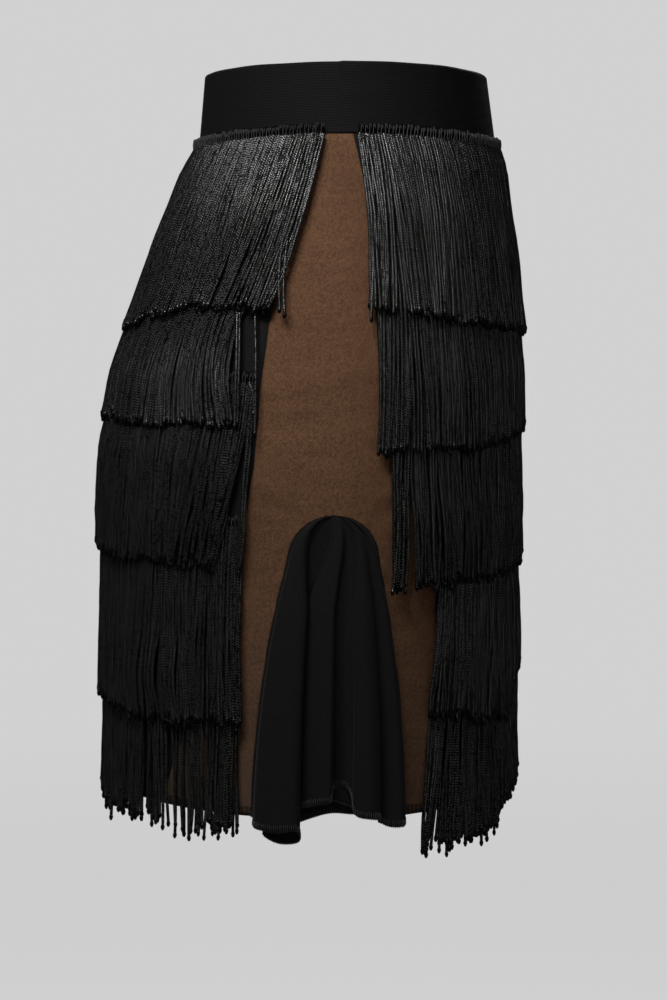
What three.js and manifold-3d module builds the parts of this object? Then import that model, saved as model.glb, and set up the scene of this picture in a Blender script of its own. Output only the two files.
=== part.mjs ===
// A fringe mini skirt in the hollow shape that it has when it is worn, in millimetres.
// +Z is up, the front faces -Y and the wearer's right side faces -X. The origin is the centre of
// the waistband, where a waist holds the skirt.
// A wide elastic band carries black front and back panels. A brown mesh panel runs down each side,
// with a flared godet set into an arch at its hem. Five tiers of cord fringe hang on the front and
// five on the back, each tier from its own narrow heading tape.

import * as THREE from 'three';
import { mergeVertices } from 'three/addons/utils/BufferGeometryUtils.js';
import Module from 'manifold-3d';

const wasm = await Module();
wasm.setup();

// Heights of the cut edges.
const BAND_TOP = 20;
const BAND_BOTTOM = -20;
const HEM = -397;
const ARCH_TOP = -229;

// Thicknesses and clearances.
const CLOTH = 1.2;
const BAND_PROUD = 0.8;
const SEAM = 0.3;
const TAPE = { height: 6, thickness: 1.6, clear: 0.7 };
const LOCK = { thickness: 2.2, clear: 0.9, over: 4.2, share: 0.9, tip: 0.86 };

// The outer face of the cloth, a row for each height: half the breadth, the reach forwards and
// backwards from the axis, how far back the middle of the side panel lies, and how much lower the
// row runs at the middle of the front and back than at the sides.
const FORM = [
  { z: 20, side: 118.5, front: 82.6, back: 82.7, centre: 2, dip: 2.5 },
  { z: -20, side: 120.5, front: 88.5, back: 86.5, centre: 2, dip: 6 },
  { z: -46, side: 130, front: 92, back: 98, centre: 3, dip: 5 },
  { z: -74, side: 140.5, front: 95, back: 107.5, centre: 4, dip: 4 },
  { z: -116, side: 155, front: 98.5, back: 121, centre: 5, dip: 2 },
  { z: -155, side: 165, front: 100, back: 134, centre: 6, dip: 0 },
  { z: -203, side: 171.5, front: 100, back: 143.5, centre: 7, dip: 0 },
  { z: -234, side: 172.5, front: 99, back: 143.5, centre: 7, dip: 0 },
  { z: -302, side: 171.5, front: 97.5, back: 142, centre: 9, dip: 0 },
  { z: -397, side: 169.5, front: 99, back: 143, centre: 10.5, dip: 0 },
  { z: -430, side: 169, front: 99, back: 143, centre: 10.8, dip: 0 },
];

// How far the side panel reaches forwards and backwards from its middle, seen from the side.
const SIDE_PANEL = [
  { z: -20, front: 5.5, back: 10.5 },
  { z: -46, front: 12.5, back: 17 },
  { z: -74, front: 18, back: 26 },
  { z: -116, front: 26, back: 36.5 },
  { z: -155, front: 34, back: 41 },
  { z: -203, front: 47, back: 44 },
  { z: -234, front: 56, back: 50 },
  { z: -302, front: 60, back: 70 },
  { z: -397, front: 60, back: 94 },
];

// The arch that the godet fills: a round head, then sides that flare to the hem.
const ARCH = { radius: 25.3, hem: 42.4, ease: 1.9 };

// The godet's folds where it is deepest, at the hem, from its back edge to its front edge: how far
// each bend lies from the arch's middle, how far it stands out, and how far its hem is lifted.
const FOLDS = [
  { across: 42.4, out: 0, lift: 0 },
  { across: 40, out: 1.5, lift: -1 },
  { across: 38.5, out: 8, lift: -3 },
  { across: 34, out: 14.5, lift: -4 },
  { across: 24, out: 16.5, lift: -5 },
  { across: 15.5, out: 15, lift: -4 },
  { across: 14.5, out: 8.5, lift: -6 },
  { across: 15.5, out: 3, lift: -6 },
  { across: 11, out: 2.5, lift: 5 },
  { across: 9.5, out: 7, lift: 8 },
  { across: 4, out: 10.5, lift: 10 },
  { across: -1.5, out: 8, lift: 12 },
  { across: -3, out: 2.5, lift: 20 },
  { across: -8, out: 1, lift: 24 },
  { across: -11.5, out: 4, lift: 16 },
  { across: -13.5, out: 10.5, lift: 3 },
  { across: -19, out: 13.5, lift: 2 },
  { across: -24.5, out: 11, lift: 1 },
  { across: -27.5, out: 5.5, lift: -2 },
  { across: -30.5, out: 8.5, lift: -4 },
  { across: -35.5, out: 11.5, lift: -4 },
  { across: -39, out: 7, lift: -3 },
  { across: -40, out: 1.5, lift: -1 },
  { across: -42.4, out: 0, lift: 0 },
];
const FOLD_GROWTH = 0.8;
const HEM_DEPTH = ARCH_TOP - HEM;
const ARCH_DEPTHS = [0.6, 3, 8, 15, 25.3, 48, 84, 124, HEM_DEPTH];

// Each tier: the height of its heading tape. For its front and back halves: the heights that its
// locks reach beside the side panel, half way round and at the middle, and how far from the side
// panel's middle the fringe starts at the tape and ends up at the tips.
const TIERS = [
  {
    tape: -18,
    front: { reach: [-117, -125, -134], gap: [8, 17.5] },
    back: { reach: [-121, -117, -130], gap: [11, 38] },
  },
  {
    tape: -74,
    front: { reach: [-196, -198, -192], gap: [15, 22] },
    back: { reach: [-185, -186, -185], gap: [25, 52] },
  },
  {
    tape: -155,
    front: { reach: [-272, -273, -271], gap: [30, 32] },
    back: { reach: [-265, -265, -263], gap: [41, 48] },
  },
  {
    tape: -234,
    front: { reach: [-340, -354, -337], gap: [58, 55] },
    back: { reach: [-352, -357, -351], gap: [52, 51] },
  },
  {
    tape: -302,
    front: { reach: [-411, -424, -405], gap: [54, 51] },
    back: { reach: [-413, -421, -412], gap: [50, 47.5] },
  },
];
const HALF_WAY = 0.65;
const LOCKS_PER_TIER = 21;
const UNEVEN_LENGTH = 2.5;

const PANEL_COLUMNS = 20;
const RING_COLUMNS = 48;

const COLOURS = { elastic: 0x131313, jersey: 0x111111, mesh: 0x5c4232, cord: 0x2c2b2a };

// One column of a table at a height, straight between its rows.
function rowValue(table, z, column) {
  let i = 0;
  while (i < table.length - 2 && table[i + 1].z > z) i += 1;
  const above = table[i];
  const below = table[i + 1];
  const share = (above.z - z) / (above.z - below.z);
  return THREE.MathUtils.lerp(above[column], below[column], share);
}

// The sizes of the section at a height.
function sectionAt(z) {
  const centre = rowValue(FORM, z, 'centre');
  return {
    centre,
    side: rowValue(FORM, z, 'side'),
    front: rowValue(FORM, z, 'front') + centre,
    back: rowValue(FORM, z, 'back') - centre,
  };
}

// A point of the figure. The turn, in radians, is 0 at the middle of the right side, a quarter
// turn at the front, half a turn at the left side and minus a quarter turn at the back.
function figurePoint(turn, z, out) {
  const section = sectionAt(z);
  const depth = Math.sin(turn) > 0 ? section.front : section.back;
  const x = -section.side * Math.cos(turn);
  const y = section.centre - depth * Math.sin(turn);
  const normal = new THREE.Vector2(-Math.cos(turn) / section.side, -Math.sin(turn) / depth);
  normal.normalize().multiplyScalar(out);
  const dip = rowValue(FORM, z, 'dip') * Math.sin(turn) ** 2;
  return new THREE.Vector3(x + normal.x, y + normal.y, z - dip);
}

// The turn of the point on the right side that lies this far behind the side panel's middle.
function turnBehind(z, distance) {
  const section = sectionAt(z);
  return Math.asin(-distance / (distance > 0 ? section.back : section.front));
}

// A closed wall between an outer and an inner grid of points. Rows run down, columns run from left
// to right as seen from outside, and a ring joins its last column to its first.
function wall(outer, inner, ring = false) {
  const rows = outer.length;
  const columns = outer[0].length;
  const index = [];
  const at = (face, i, j) => (face * rows + i) * columns + (j % columns);
  const quad = (a, b, c, d) => index.push(a, b, c, a, c, d);
  const last = ring ? columns : columns - 1;
  for (let j = 0; j < last; j += 1) {
    for (let i = 0; i < rows - 1; i += 1) {
      quad(at(0, i, j), at(0, i + 1, j), at(0, i + 1, j + 1), at(0, i, j + 1));
      quad(at(1, i, j), at(1, i, j + 1), at(1, i + 1, j + 1), at(1, i + 1, j));
    }
    quad(at(0, 0, j), at(0, 0, j + 1), at(1, 0, j + 1), at(1, 0, j));
    const foot = rows - 1;
    quad(at(0, foot, j), at(1, foot, j), at(1, foot, j + 1), at(0, foot, j + 1));
  }
  if (!ring) {
    for (let i = 0; i < rows - 1; i += 1) {
      quad(at(0, i, 0), at(1, i, 0), at(1, i + 1, 0), at(0, i + 1, 0));
      quad(at(0, i, last), at(0, i + 1, last), at(1, i + 1, last), at(1, i, last));
    }
  }
  const points = [...outer.flat(), ...inner.flat()].flatMap((point) => point.toArray());
  const geometry = new THREE.BufferGeometry();
  geometry.setAttribute('position', new THREE.Float32BufferAttribute(points, 3));
  geometry.setIndex(index);
  return geometry;
}

// A wall of the figure's own shape: heights down, and at each height the turns where it starts and
// ends. Its faces lie this far out of the figure.
function figureWall(heights, turnsAt, columns, outerOut, innerOut, ring = false) {
  const grid = (out) => heights.map((z) => {
    const [from, to] = turnsAt(z);
    const count = ring ? columns : columns + 1;
    return Array.from({ length: count }, (_, j) => (
      figurePoint(THREE.MathUtils.lerp(from, to, j / columns), z, out)));
  });
  return wall(grid(outerOut), grid(innerOut), ring);
}

// The heights of the form's rows between two heights, with both ends.
function heightsBetween(top, bottom) {
  const inside = FORM.map((row) => row.z).filter((z) => z < top - 1 && z > bottom + 1);
  return [top, ...inside, bottom];
}

// Solids and geometries, each made from the other.
function solidOf(geometry) {
  const bare = new THREE.BufferGeometry();
  bare.setAttribute('position', geometry.getAttribute('position'));
  if (geometry.index) bare.setIndex(geometry.index);
  const merged = mergeVertices(bare, 1e-4);
  return new wasm.Manifold(new wasm.Mesh({
    numProp: 3,
    vertProperties: new Float32Array(merged.attributes.position.array),
    triVerts: new Uint32Array(merged.index.array),
  }));
}

function geometryOf(solid) {
  const mesh = solid.getMesh();
  const geometry = new THREE.BufferGeometry();
  const points = new THREE.Float32BufferAttribute(mesh.vertProperties, mesh.numProp);
  geometry.setAttribute('position', points);
  geometry.setIndex(new THREE.Uint32BufferAttribute(mesh.triVerts, 1));
  return geometry;
}

function waistband() {
  const turns = () => [0, 2 * Math.PI];
  return figureWall([BAND_TOP, BAND_BOTTOM], turns, RING_COLUMNS, BAND_PROUD, -CLOTH, true);
}

function frontPanel() {
  const turns = (z) => {
    const edge = turnBehind(z, -rowValue(SIDE_PANEL, z, 'front') - SEAM / 2);
    return [edge, Math.PI - edge];
  };
  return figureWall(heightsBetween(BAND_BOTTOM - SEAM, HEM), turns, PANEL_COLUMNS, 0, -CLOTH);
}

function backPanel() {
  const turns = (z) => {
    const edge = turnBehind(z, rowValue(SIDE_PANEL, z, 'back') + SEAM / 2);
    return [-Math.PI - edge, edge];
  };
  return figureWall(heightsBetween(BAND_BOTTOM - SEAM, HEM), turns, PANEL_COLUMNS, 0, -CLOTH);
}

// Half the arch's width, this far below its top.
function archHalf(depth) {
  if (depth < ARCH.radius) return Math.sqrt(ARCH.radius ** 2 - (ARCH.radius - depth) ** 2);
  const share = (depth - ARCH.radius) / (HEM_DEPTH - ARCH.radius);
  return ARCH.radius + (ARCH.hem - ARCH.radius) * (1 - (1 - share) ** ARCH.ease);
}

// The right side's mesh panel, with its arch cut through from the side.
function sidePanel() {
  const turns = (z) => [
    turnBehind(z, rowValue(SIDE_PANEL, z, 'back') - SEAM / 2),
    turnBehind(z, SEAM / 2 - rowValue(SIDE_PANEL, z, 'front')),
  ];
  const whole = figureWall(heightsBetween(BAND_BOTTOM - SEAM, HEM), turns, 12, 0, -CLOTH);
  const edge = (depth, sign) => {
    const z = ARCH_TOP - depth;
    const head = SEAM * Math.max(0, 1 - depth / ARCH.radius);
    const below = depth === HEM_DEPTH ? -5 : head;
    const half = archHalf(depth) + SEAM / 2 + head / 2;
    return new THREE.Vector2(-sectionAt(z).centre - sign * half, z + below);
  };
  const outline = new THREE.Shape([
    ...ARCH_DEPTHS.map((depth) => edge(depth, -1)),
    ...ARCH_DEPTHS.slice().reverse().map((depth) => edge(depth, 1)),
  ]);
  const block = new THREE.ExtrudeGeometry(outline, { depth: 120, bevelEnabled: false });
  block.applyMatrix4(new THREE.Matrix4().makeBasis(
    new THREE.Vector3(0, -1, 0),
    new THREE.Vector3(0, 0, 1),
    new THREE.Vector3(-1, 0, 0),
  ));
  block.translate(-100, 0, 0);
  return geometryOf(solidOf(whole).subtract(solidOf(block)));
}

// The direction in which a bend of a folded section is offset, and how far, so that the wall keeps
// its thickness on both sides of the bend.
function bendNormal(before, point, after) {
  const normals = [[before, point], [point, after]].map(([from, to]) => (
    new THREE.Vector2(to.y - from.y, from.x - to.x).normalize()));
  const sum = normals[0].clone().add(normals[1]);
  if (sum.length() < 0.2) return normals[0];
  const unit = sum.normalize();
  return unit.divideScalar(Math.max(unit.dot(normals[0]), 0.7));
}

// The right side's godet: sections of the folds, narrowed to the arch at each depth. The bends
// start evenly spaced at the top of the arch and reach their own places as the folds deepen.
function godet() {
  const outer = [];
  const inner = [];
  const last = FOLDS.length - 1;
  for (const depth of ARCH_DEPTHS) {
    const share = depth / HEM_DEPTH;
    const formed = Math.min(1, 1.5 * share);
    const half = archHalf(depth) - SEAM / 2;
    const z = ARCH_TOP - depth;
    const bendPoint = (k, out) => {
      const across = THREE.MathUtils.lerp(1 - (2 * k) / last, FOLDS[k].across / ARCH.hem, formed);
      return figurePoint(turnBehind(z, across * half), z, out);
    };
    const lift = (k) => FOLDS[k].lift * share * share;
    const middle = FOLDS.map((fold, k) => bendPoint(k, fold.out * share ** FOLD_GROWTH - CLOTH / 2));
    const offsets = middle.map((point, k) => {
      const plain = bendPoint(k, 1).sub(bendPoint(k, 0));
      const flat = new THREE.Vector2(plain.x, plain.y);
      if (k === 0 || k === last) return flat.multiplyScalar(CLOTH / 2);
      const bend = bendNormal(middle[k - 1], point, middle[k + 1]);
      return flat.lerp(bend, formed).multiplyScalar(CLOTH / 2);
    });
    const face = (sign) => middle.map((point, k) => new THREE.Vector3(
      point.x + sign * offsets[k].x,
      point.y + sign * offsets[k].y,
      point.z + lift(k),
    ));
    outer.push(face(1));
    inner.push(face(-1));
  }
  return wall(outer, inner);
}

// A number from 0 to 1 that differs from seed to seed.
function scatter(seed) {
  const value = Math.sin(seed * 12.9898 + 4.1) * 43758.5453;
  return value - Math.floor(value);
}

// The turns that divide the way round from one turn to another by shares of its length.
function turnsByLength(z, from, to, shares) {
  const steps = 96;
  const lengths = [0];
  let last = figurePoint(from, z, 0);
  for (let i = 1; i <= steps; i += 1) {
    const next = figurePoint(THREE.MathUtils.lerp(from, to, i / steps), z, 0);
    lengths.push(lengths[i - 1] + next.distanceTo(last));
    last = next;
  }
  return shares.map((share) => {
    const wanted = share * lengths[steps];
    let i = 1;
    while (i < steps && lengths[i] < wanted) i += 1;
    const within = (wanted - lengths[i - 1]) / (lengths[i] - lengths[i - 1]);
    return THREE.MathUtils.lerp(from, to, (i - 1 + within) / steps);
  });
}

// Where half a tier starts and ends at a height, from left to right as seen from outside.
function tierTurns(tier, side, z) {
  const half = tier[side];
  const share = THREE.MathUtils.clamp((tier.tape - z) / (tier.tape - half.reach[0]), 0, 1);
  const away = THREE.MathUtils.lerp(half.gap[0], half.gap[1], share);
  const edge = turnBehind(z, side === 'front' ? -away : away);
  return side === 'front' ? [edge, Math.PI - edge] : [-Math.PI - edge, edge];
}

// The height that the locks reach where the figure faces this way.
function reachAt(tier, side, turn) {
  const [beside, between, middle] = tier[side].reach;
  const round = Math.abs(Math.sin(turn));
  if (round < HALF_WAY) return THREE.MathUtils.lerp(beside, between, round / HALF_WAY);
  return THREE.MathUtils.lerp(between, middle, (round - HALF_WAY) / (1 - HALF_WAY));
}

// Down a lock: heights, each with how far the lock's inner face stands out of the figure. It hangs
// close to the cloth under the tier above, and swings out over the next tier's tape.
function lockPath(number, side, reach) {
  const { tape } = TIERS[number];
  const next = TIERS[number + 1];
  const rows = FORM.map((row) => row.z).filter((z) => z < tape - 8 && z > reach + 8);
  const path = [{ z: tape + 1, clear: LOCK.clear + (number === 0 ? BAND_PROUD : 0) }];
  if (!next) {
    path.push({ z: HEM + 45, clear: LOCK.clear });
    path.push({ z: reach, clear: LOCK.clear + 1.5 });
    return path;
  }
  const covered = number === 0 ? tape : Math.min(...TIERS[number - 1][side].reach);
  const free = Math.max(covered - UNEVEN_LENGTH - 2, next.tape + 18);
  const stops = rows.filter((z) => z > next.tape + 1 && Math.abs(z - free) > 10);
  if (number > 0) stops.push(free);
  stops.sort((a, b) => b - a);
  for (const z of stops) path.push({ z, clear: LOCK.clear });
  path.push({ z: next.tape, clear: LOCK.over });
  for (const z of rows.filter((row) => row < next.tape - 1)) path.push({ z, clear: LOCK.over });
  path.push({ z: reach, clear: LOCK.over });
  return path;
}

// One lock: a flat four-sided bunch of cords, narrower on its outer face.
function lock(tier, number, side, k) {
  const seed = number * 100 + k + (side === 'front' ? 0 : 50);
  const tips = tier[side].reach[1];
  const [turn] = turnsByLength(tips, ...tierTurns(tier, side, tips), [(k + 0.5) / LOCKS_PER_TIER]);
  const reach = reachAt(tier, side, turn) + UNEVEN_LENGTH * (2 * scatter(seed) - 1);
  const path = lockPath(number, side, reach);
  const sway = 0.05 * (2 * scatter(seed + 0.5) - 1);
  const rings = path.map((stop, i) => {
    const share = i / (path.length - 1);
    const half = THREE.MathUtils.lerp(LOCK.share, LOCK.tip, share) / 2;
    const middle = k + 0.5 + sway * share;
    const marks = [-half, half, half * 0.7, -half * 0.7];
    const shares = marks.map((mark) => (middle + mark) / LOCKS_PER_TIER);
    const turns = turnsByLength(stop.z, ...tierTurns(tier, side, stop.z), shares);
    return turns.map((edge, corner) => {
      const out = stop.clear + (corner > 1 ? LOCK.thickness : 0);
      return figurePoint(edge, stop.z, out);
    });
  });
  const points = rings.flat().flatMap((point) => point.toArray());
  const index = [];
  for (let i = 0; i < rings.length - 1; i += 1) {
    for (let j = 0; j < 4; j += 1) {
      const a = i * 4 + j;
      const b = i * 4 + ((j + 1) % 4);
      index.push(a, b + 4, a + 4, a, b, b + 4);
    }
  }
  const foot = (rings.length - 1) * 4;
  index.push(0, 2, 1, 0, 3, 2, foot, foot + 1, foot + 2, foot, foot + 2, foot + 3);
  const geometry = new THREE.BufferGeometry();
  geometry.setAttribute('position', new THREE.Float32BufferAttribute(points, 3));
  geometry.setIndex(index);
  return geometry;
}

// One tier on one half of the skirt: its heading tape with the locks fused to it.
function fringe(number, side) {
  const tier = TIERS[number];
  const clear = TAPE.clear + (number === 0 ? BAND_PROUD : 0);
  const heights = [tier.tape + TAPE.height / 2, tier.tape - TAPE.height / 2];
  const turns = () => tierTurns(tier, side, tier.tape);
  let solid = solidOf(figureWall(heights, turns, PANEL_COLUMNS, clear + TAPE.thickness, clear));
  for (let k = 0; k < LOCKS_PER_TIER; k += 1) {
    solid = solid.add(solidOf(lock(tier, number, side, k)));
  }
  return geometryOf(solid);
}

const skirt = new THREE.Group();

function place(name, geometry, colour, roughness, mirrored = false) {
  const material = new THREE.MeshStandardMaterial({ color: colour, roughness, metalness: 0 });
  const mesh = new THREE.Mesh(geometry, material);
  mesh.name = name;
  if (mirrored) mesh.scale.x = -1;
  skirt.add(mesh);
}

place('waistband', waistband(), COLOURS.elastic, 0.8);
place('front_panel', frontPanel(), COLOURS.jersey, 0.85);
place('back_panel', backPanel(), COLOURS.jersey, 0.85);
place('side_panel_right', sidePanel(), COLOURS.mesh, 0.9);
place('side_panel_left', sidePanel(), COLOURS.mesh, 0.9, true);
place('godet_right', godet(), COLOURS.jersey, 0.85);
place('godet_left', godet(), COLOURS.jersey, 0.85, true);
TIERS.forEach((tier, number) => {
  place(`fringe_front_${number + 1}`, fringe(number, 'front'), COLOURS.cord, 0.6);
  place(`fringe_back_${number + 1}`, fringe(number, 'back'), COLOURS.cord, 0.6);
});

export default skirt;
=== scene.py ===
# A fringe mini skirt in the hollow shape that it has when it is worn. Sizes are in millimetres, as
# in the part's source, until a point is made. The front faces -Y and the right side faces -X.

import math

import bpy
import numpy as np
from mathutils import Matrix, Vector


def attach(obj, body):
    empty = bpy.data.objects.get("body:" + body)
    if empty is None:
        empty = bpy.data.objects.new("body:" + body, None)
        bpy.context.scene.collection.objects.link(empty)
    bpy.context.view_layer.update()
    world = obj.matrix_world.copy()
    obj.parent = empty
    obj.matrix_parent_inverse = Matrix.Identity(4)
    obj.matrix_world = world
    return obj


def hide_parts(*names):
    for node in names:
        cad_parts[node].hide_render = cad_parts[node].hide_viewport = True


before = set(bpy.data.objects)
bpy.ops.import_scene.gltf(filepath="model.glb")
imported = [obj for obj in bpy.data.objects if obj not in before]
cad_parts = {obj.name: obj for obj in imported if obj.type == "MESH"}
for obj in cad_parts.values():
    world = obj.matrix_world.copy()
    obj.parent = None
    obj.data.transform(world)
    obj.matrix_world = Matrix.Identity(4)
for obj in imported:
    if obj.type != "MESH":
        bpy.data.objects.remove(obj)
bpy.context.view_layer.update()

MM = 0.001
BAND_TOP, BAND_BOTTOM = 20, -20
HEM = -397
ARCH_TOP = -229

# Thicknesses of the cloth and the elastic, how far the elastic stands out of the cloth, how far the
# panels run past each other at a seam, how far the arch's edges do, and how far in the net lies.
CLOTH, BAND_CLOTH = 1.2, 1.8
BAND_PROUD = 0.8
SEAM, ARCH_SEAM, NET_IN = 0.05, 0.1, 0.1

# The outer face of the cloth: height, half the breadth, reach forwards and backwards from the axis,
# how far back the side panel's middle lies, and how much lower the row runs at front and back.
FORM = np.array([
    (20, 118.5, 82.6, 82.7, 2, 2.5),
    (-20, 120.5, 88.5, 86.5, 2, 6),
    (-46, 130, 92, 98, 3, 5),
    (-74, 140.5, 95, 107.5, 4, 4),
    (-116, 155, 98.5, 121, 5, 2),
    (-155, 165, 100, 134, 6, 0),
    (-203, 171.5, 100, 143.5, 7, 0),
    (-234, 172.5, 99, 143.5, 7, 0),
    (-302, 171.5, 97.5, 142, 9, 0),
    (-397, 169.5, 99, 143, 10.5, 0),
    (-430, 169, 99, 143, 10.8, 0),
])

# How far the side panel reaches forwards and backwards from its middle.
SIDE_PANEL = np.array([
    (-20, 5.5, 10.5),
    (-46, 12.5, 17),
    (-74, 18, 26),
    (-116, 26, 36.5),
    (-155, 34, 41),
    (-203, 47, 44),
    (-234, 56, 50),
    (-302, 60, 70),
    (-397, 60, 94),
])

# The arch that the godet fills: its head's radius, half its breadth at the hem, how it widens
# between, and depths below its top of the rows of points in its head.
ARCH_RADIUS, ARCH_HEM, ARCH_EASE = 25.3, 42.4, 1.9
HEAD_ROWS = (0.3, 1, 2, 3.5, 5.5, 8, 11, 14.5, 18.5, 23)

# The godet's bends at the hem from its back edge to its front edge: how far from the middle, how far
# out, and how far the hem is lifted. They grow towards the hem by a power of the depth.
FOLD_GROWTH = 0.55
FOLDS = np.array([
    (43.8, -0.9, 0),
    (40, 1.5, -1),
    (38.5, 8, -3),
    (34, 14.5, -4),
    (24, 16.5, -5),
    (15.5, 15, -4),
    (14, 10, -8),
    (16, 6.5, -12),
    (26, 4.5, -13),
    (34, 3, -9),
    (26, 0, -6),
    (10, -2, 0),
    (-2, -2.5, 3),
    (-15, -2.5, 2),
    (-16, -0.5, 4),
    (-4, 0.5, 10),
    (7, 1.5, 10),
    (14, 2, 8),
    (15.5, 3.5, 7),
    (11, 6.5, 8),
    (4, 10, 10),
    (-1, 11, 11),
    (-2, 6, 15),
    (-3.5, 2, 18),
    (-9, 2.5, 18),
    (-12, 5, 13),
    (-13, 9.5, 4),
    (-19, 13.5, 2),
    (-24.5, 11.5, 1),
    (-27, 5.5, -2),
    (-30.5, 8.5, -4),
    (-35.5, 11.5, -4),
    (-39, 7, -3),
    (-40, 1.5, -1),
    (-43.8, -0.9, 0),
])

# Each tier: its heading tape's height, then for its front and back halves the heights that its
# cords reach (share of the way round to the middle, height), how far from the side panel's middle
# it starts and ends, how much its edge bows between, and how many cords it has.
TIERS = [
    {
        "tape": -18,
        "front": {"reach": [(0, -117), (0.65, -125), (1, -134)], "gap": (8, 17.5), "bow": -2.2,
                  "cords": 390},
        "back": {"reach": [(0, -121), (0.65, -117), (1, -130)], "gap": (10.5, 38), "bow": 3.2,
                 "cords": 390},
    },
    {
        "tape": -74,
        "front": {"reach": [(0, -196), (0.65, -198), (1, -192)], "gap": (17, 23), "bow": -2,
                  "cords": 410},
        "back": {"reach": [(0, -184), (0.65, -183), (1, -185)], "gap": (25, 53.5), "bow": -15,
                 "cords": 400},
    },
    {
        "tape": -155,
        "front": {"reach": [(0, -272), (0.65, -273), (1, -271)], "gap": (30, 32), "bow": 0,
                  "cords": 410},
        "back": {"reach": [(0, -263), (0.65, -262), (1, -262)], "gap": (43.5, 49.5), "bow": 0,
                 "cords": 430},
    },
    {
        "tape": -234,
        "front": {"reach": [(0, -338), (0.5, -343), (0.75, -353), (0.89, -357), (0.95, -337),
                            (1, -334)], "gap": (61, 52.5), "bow": 0, "cords": 380},
        "back": {"reach": [(0, -346), (0.65, -351), (1, -350)], "gap": (50.5, 48), "bow": 0,
                 "cords": 430},
    },
    {
        "tape": -302,
        "front": {"reach": [(0, -411), (0.65, -423), (0.8, -422), (0.91, -406), (1, -404)],
                  "gap": (58, 51), "bow": 0, "cords": 390},
        "back": {"reach": [(0, -405), (0.65, -415), (1, -411)], "gap": (51.5, 49), "bow": 0,
                 "cords": 450},
    },
]

# The heading tape: half its height, and how far out its two faces lie.
TAPE = {"half": 3.3, "inner": 0.7, "outer": 2.3}

# The threads that wrap the tape and those of the godet's overlocked hem: the step between them, the
# radius, and how high the overlock reaches.
HEADING_STEP, HEADING_RADIUS = 2.15, 0.3
OVERLOCK_STEP, OVERLOCK_RADIUS, OVERLOCK_HEIGHT = 1.15, 0.2, 3.6

# How many sides the round tubes have, and the seeds of the random draws.
CORD_SIDES, THREAD_SIDES = 5, 3
BAND_SEED, HEM_SEED, TAPE_SEED, FRINGE_SEED = 11, 23, 5, 100

# The cords: their radius, the step from the inner layer to the outer one, how many hang together as
# a group, how far below the tape's middle they start, how far a tier spills over its ends and over
# what width, how many slits open in half a tier, and their width and share of the length.
CORD_RADIUS = 0.9
LAYER = 1.05
GROUP = 14
CORD_TOP = 2.2
SPILL, SPILL_WIDTH = 1.1, 30
SLITS, SLIT_WIDTH, SLIT_LENGTH = 14, 4, 0.13

# A knot's rows: how far past its start, and a share of the radius. Its U is shifted by this much,
# so that the material can tell it.
KNOT = np.array([(0.0, 1.0), (0.7, 1.0), (1.2, 1.35), (2.3, 1.25), (3.6, 0.65)])
KNOT_U = 10.0

# Tier by tier: how unevenly the cords end, how far they sway, how far a group and a single cord lie
# off their places, how far below the tape they are all settled, and how far out they lie just where
# the tier above ends.
SCATTER = (2.2, 2.2, 3.2, 3.6, 6.0)
SWAY = (0.5, 0.5, 0.9, 0.9, 0.9)
GROUP_SHIFT = (0.7, 1.25, 1.25, 1.25, 1.25)
JITTER = (0.4, 0.65, 0.65, 0.65, 0.65)
SETTLE = (8, 26, 26, 26, 26)
UNCOVERED_OUT = (1.9, 3.6, 2.8, 2.8)

# Cords that hang by themselves: tier, half, where they start (share of the half, from left to
# right as seen from outside), how far from the side panel's middle they end, and at what height.
STRAYS = [
    (0, "back", 0.985, 29.5, -119),
    (0, "back", 0.993, 27, -122),
    (0, "front", 0.006, 16.5, -124),
    (1, "back", 0.99, 41.5, -187),
    (1, "back", 0.975, 50.5, -181),
    (1, "back", 0.97, 52, -183),
    (2, "back", 0.992, 43.5, -176),
]

# Where the cords part: tier, half, share, how far the cords on each side of the parting lean to
# the left and to the right at their tips, from which share of their length, and over what width.
PARTINGS = [
    (0, "back", 0.90, 2.5, 1.5, 0.30, 12),
    (0, "back", 0.80, 1.5, 1.0, 0.35, 10),
    (0, "front", 0.04, 0.6, 5.0, 0.05, 22),
    (0, "front", 0.13, 1.2, 2.2, 0.30, 14),
    (1, "back", 0.985, 3.0, 0.0, 0.05, 12),
    (1, "front", 0.06, 2.2, 3.6, 0.20, 10),
    (2, "back", 0.99, 15.0, 0.5, 0.22, 24),
    (2, "front", 0.04, 0.5, 2.5, 0.35, 9),
    (2, "front", 0.03, 0.8, 4.2, 0.45, 9),
    (3, "back", 0.85, 2.4, 1.6, 0.25, 10),
    (3, "back", 0.60, 1.5, 1.0, 0.4, 10),
    (4, "back", 0.90, 1.8, 1.2, 0.2, 9),
    (4, "front", 0.05, 2.0, 1.4, 0.5, 8),
]

# Where cords bulge over the tape below: tier, half, share, height, how far out and over what width.
BULGES = [
    (3, "back", 0.84, -324, 3.0, 20),
    (3, "front", 0.30, -322, 1.5, 20),
]

# Where fewer cords hang: tier, half, from which share to which, and the part that is kept.
THIN = [
    (4, "back", 0.77, 0.96, 0.42),
    (4, "front", 0.02, 0.3, 0.85),
]


def soft_table(rows):
    """The table's columns at every millimetre of height, with the corners between rows rounded."""
    heights = np.arange(-480, 61, 1.0)
    reach = 12
    kernel = np.hanning(2 * reach + 3)[1:-1]
    kernel /= kernel.sum()
    columns = []
    for k in range(1, rows.shape[1]):
        inside = (heights >= rows[-1, 0]) & (heights <= rows[0, 0])
        values = np.interp(heights[inside], rows[::-1, 0], rows[::-1, k])
        padded = np.pad(values, reach, mode="reflect", reflect_type="odd")
        softened = np.convolve(padded, kernel, mode="valid")
        columns.append(np.interp(heights, heights[inside], softened))
    return heights, np.array(columns)


HEIGHTS, FORM_SOFT = soft_table(FORM)
PANEL_SOFT = soft_table(SIDE_PANEL)[1]


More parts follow.
